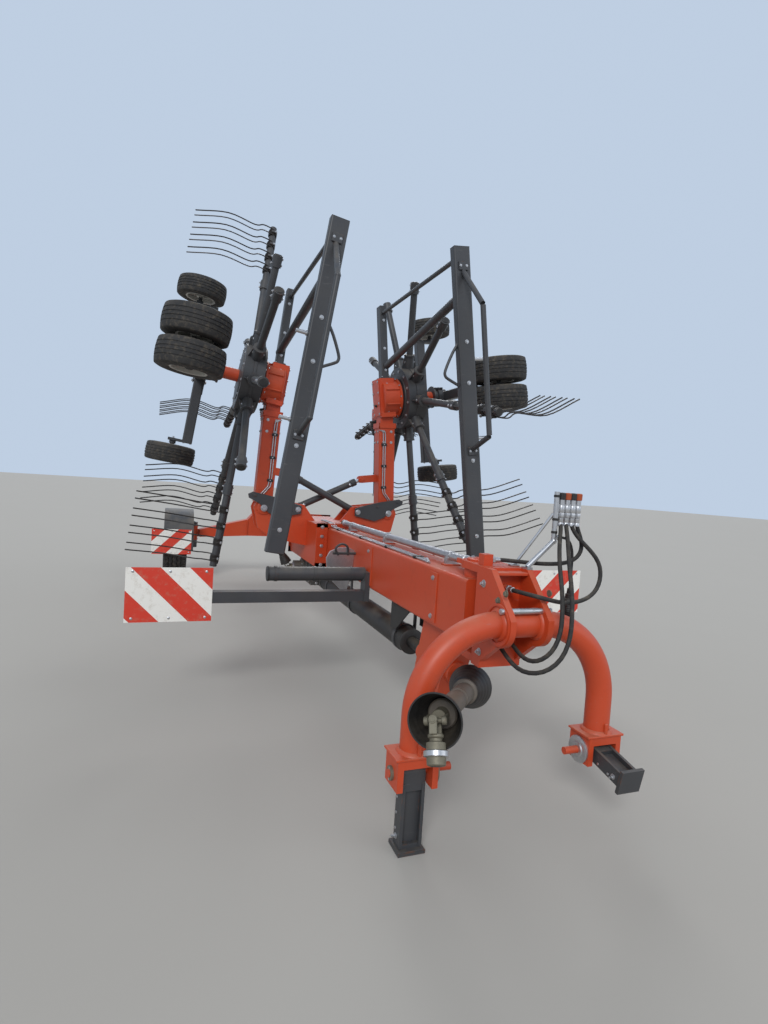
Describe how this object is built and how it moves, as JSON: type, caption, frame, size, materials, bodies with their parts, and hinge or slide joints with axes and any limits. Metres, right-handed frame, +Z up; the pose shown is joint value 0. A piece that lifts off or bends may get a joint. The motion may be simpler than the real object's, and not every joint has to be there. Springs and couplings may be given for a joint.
{
  "type": "twin-rotor rotary hay rake",
  "caption": "Semi-mounted rotary hay rake with both rotors folded up for the road, its yoke standing on parking legs in front and its steered transport wheels behind.",
  "frame": {"origin": "on the floor under the middle of the machine's length and width", "axes": "+X is the machine's left, +Y is rearward, +Z is up"},
  "size_m": [3.0064, 6.1497, 3.4264],
  "materials": {
    "red_paint": "orange-red paint, satin, faded on its top faces",
    "dark_paint": "near-black paint, satin, chipped at the edges",
    "bare_steel": "bare or zinc-plated steel, dull",
    "chromed_rod": "hard-chromed cylinder rod",
    "spring_steel": "dark spring steel wire, worn bright at its ends",
    "tyre_rubber": "dusty black rubber",
    "rim_paint": "pale grey wheel paint, dusty",
    "guard_plastic": "black moulded shaft guard",
    "hose_rubber": "black hose rubber and cable sheath, dusty",
    "board_sheet": "white sheet with red slanting stripes"
  },
  "bodies": {
    "chassis": {"main_beam": "red_paint", "rear_axle": "red_paint", "board_carrier": "dark_paint", "front_boards": "board_sheet", "centre_gearbox": "dark_paint", "drive_tube": "guard_plastic", "steering_rod": "bare_steel", "drive_links": "guard_plastic"},
    "headstock": {"headstock": "red_paint", "yoke": "red_paint", "pto_shaft": "guard_plastic", "hose_holder": "bare_steel", "hose_long": "hose_rubber", "hose_low": "hose_rubber", "hose_loop": "hose_rubber", "hose_top": "hose_rubber", "lamp_lead": "hose_rubber", "lead_plug": "guard_plastic"},
    "leg_right": {"leg_right": "dark_paint"},
    "knuckle_right": {"knuckle_right": "dark_paint", "rear_board_right": "board_sheet"},
    "road_wheel_right": {"road_tyre_right": "tyre_rubber", "road_rim_right": "rim_paint"},
    "lift_arm_right": {"lift_arm_right": "red_paint", "shaft_lower_right": "bare_steel"},
    "barrel_right": {"barrel_right": "dark_paint"},
    "rod_right": {"rod_right": "chromed_rod"},
    "boom_right": {"boom_right": "red_paint", "guard_right": "dark_paint", "shaft_upper_right": "guard_plastic", "undercarriage_right": "dark_paint"},
    "rotor_right": {"rotor_right": "dark_paint", "tines_right": "spring_steel"},
    "twin_wheels_right": {"twin_wheels_right": "tyre_rubber"},
    "wheel_upper_right": {"wheel_upper_right": "tyre_rubber"},
    "wheel_lower_right": {"wheel_lower_right": "tyre_rubber"},
    "leg_left": {"leg_left": "dark_paint"},
    "knuckle_left": {"knuckle_left": "dark_paint", "rear_board_left": "board_sheet"},
    "road_wheel_left": {"road_tyre_left": "tyre_rubber", "road_rim_left": "rim_paint"},
    "lift_arm_left": {"lift_arm_left": "red_paint", "shaft_lower_left": "bare_steel"},
    "barrel_left": {"barrel_left": "dark_paint"},
    "rod_left": {"rod_left": "chromed_rod"},
    "boom_left": {"boom_left": "red_paint", "guard_left": "dark_paint", "shaft_upper_left": "guard_plastic", "undercarriage_left": "dark_paint"},
    "rotor_left": {"rotor_left": "dark_paint", "tines_left": "spring_steel"},
    "twin_wheels_left": {"twin_wheels_left": "tyre_rubber"},
    "wheel_upper_left": {"wheel_upper_left": "tyre_rubber"},
    "wheel_lower_left": {"wheel_lower_left": "tyre_rubber"}
  },
  "joints": [
    {"name": "headstock_swivel", "type": "hinge", "parent": "chassis", "child": "headstock", "pos_m": [0, -2.48511, 0.66], "axis": [0, 0, 1], "range_deg": [-50, 50]},
    {"name": "leg_swing_right", "type": "hinge", "parent": "headstock", "child": "leg_right", "pos_m": [-0.39, -2.78511, 0.275], "axis": [1, 0, 0], "range_deg": [-87, 0]},
    {"name": "steer_right", "type": "hinge", "parent": "chassis", "child": "knuckle_right", "pos_m": [-0.93, 2.69489, 0.5], "axis": [0, 0, 1], "range_deg": [-25, 25]},
    {"name": "road_wheel_spin_right", "type": "hinge", "parent": "knuckle_right", "child": "road_wheel_right", "pos_m": [-1.13, 2.69489, 0.38], "axis": [1, 0, 0], "continuous": true},
    {"name": "arm_lower_right", "type": "hinge", "parent": "chassis", "child": "lift_arm_right", "pos_m": [-0.52, 0.07489, 1], "axis": [0, -1, 0], "range_deg": [0, 98]},
    {"name": "arm_reach_right", "type": "slide", "parent": "lift_arm_right", "child": "boom_right", "axis": [0.0523, 0, 0.9986], "range_m": [0, 0.5005]},
    {"name": "barrel_pivot_right", "type": "hinge", "parent": "chassis", "child": "barrel_right", "pos_m": [0.25, 0.03489, 1], "axis": [0, -1, 0], "range_deg": [0, 17.01]},
    {"name": "rod_slide_right", "type": "slide", "parent": "barrel_right", "child": "rod_right", "axis": [-0.8986, 0, 0.4388], "range_m": [0, 0.4608]},
    {"name": "rotor_spin_right", "type": "hinge", "parent": "boom_right", "child": "rotor_right", "pos_m": [-0.66525, 0.07489, 1.99995], "axis": [0.9903, 0, -0.1392], "continuous": true},
    {"name": "twin_wheels_spin_right", "type": "hinge", "parent": "boom_right", "child": "twin_wheels_right", "pos_m": [-1.10889, -0.68511, 2.0623], "axis": [0.1392, 0, 0.9903], "continuous": true},
    {"name": "wheel_upper_spin_right", "type": "hinge", "parent": "boom_right", "child": "wheel_upper_right", "pos_m": [-1.03336, 0.52489, 2.74341], "axis": [0.1392, 0, 0.9903], "continuous": true},
    {"name": "wheel_lower_spin_right", "type": "hinge", "parent": "boom_right", "child": "wheel_lower_right", "pos_m": [-1.22403, 0.52489, 1.38674], "axis": [0.1392, 0, 0.9903], "continuous": true},
    {"name": "leg_swing_left", "type": "hinge", "parent": "headstock", "child": "leg_left", "pos_m": [0.39, -2.78511, 0.275], "axis": [1, 0, 0], "range_deg": [-9, 78]},
    {"name": "steer_left", "type": "hinge", "parent": "chassis", "child": "knuckle_left", "pos_m": [0.93, 2.69489, 0.5], "axis": [0, 0, 1], "range_deg": [-25, 25]},
    {"name": "road_wheel_spin_left", "type": "hinge", "parent": "knuckle_left", "child": "road_wheel_left", "pos_m": [1.13, 2.69489, 0.38], "axis": [1, 0, 0], "continuous": true},
    {"name": "arm_lower_left", "type": "hinge", "parent": "chassis", "child": "lift_arm_left", "pos_m": [0.52, 0.07489, 1], "axis": [0, 1, 0], "range_deg": [0, 98]},
    {"name": "arm_reach_left", "type": "slide", "parent": "lift_arm_left", "child": "boom_left", "axis": [-0.0523, 0, 0.9986], "range_m": [0, 0.5005]},
    {"name": "barrel_pivot_left", "type": "hinge", "parent": "chassis", "child": "barrel_left", "pos_m": [-0.25, 0.11489, 1], "axis": [0, 1, 0], "range_deg": [0, 17.01]},
    {"name": "rod_slide_left", "type": "slide", "parent": "barrel_left", "child": "rod_left", "axis": [0.8986, 0, 0.4388], "range_m": [0, 0.4608]},
    {"name": "rotor_spin_left", "type": "hinge", "parent": "boom_left", "child": "rotor_left", "pos_m": [0.66525, 0.07489, 1.99995], "axis": [-0.9903, 0, -0.1392], "continuous": true},
    {"name": "twin_wheels_spin_left", "type": "hinge", "parent": "boom_left", "child": "twin_wheels_left", "pos_m": [1.10889, -0.68511, 2.0623], "axis": [-0.1392, 0, 0.9903], "continuous": true},
    {"name": "wheel_upper_spin_left", "type": "hinge", "parent": "boom_left", "child": "wheel_upper_left", "pos_m": [1.03336, 0.52489, 2.74341], "axis": [-0.1392, 0, 0.9903], "continuous": true},
    {"name": "wheel_lower_spin_left", "type": "hinge", "parent": "boom_left", "child": "wheel_lower_left", "pos_m": [1.22403, 0.52489, 1.38674], "axis": [-0.1392, 0, 0.9903], "continuous": true}
  ],
  "couplings": [
    {"joint": "steer_right", "follows": "headstock_swivel", "ratio": -0.5},
    {"joint": "arm_reach_right", "follows": "arm_lower_right", "m_per_rad": 0.29233},
    {"joint": "barrel_pivot_right", "follows": "arm_lower_right", "ratio": 0.17347},
    {"joint": "rod_slide_right", "follows": "arm_lower_right", "m_per_rad": 0.26913},
    {"joint": "steer_left", "follows": "headstock_swivel", "ratio": -0.5},
    {"joint": "arm_reach_left", "follows": "arm_lower_left", "m_per_rad": 0.29233},
    {"joint": "barrel_pivot_left", "follows": "arm_lower_left", "ratio": 0.17347},
    {"joint": "rod_slide_left", "follows": "arm_lower_left", "m_per_rad": 0.26913}
  ]
}
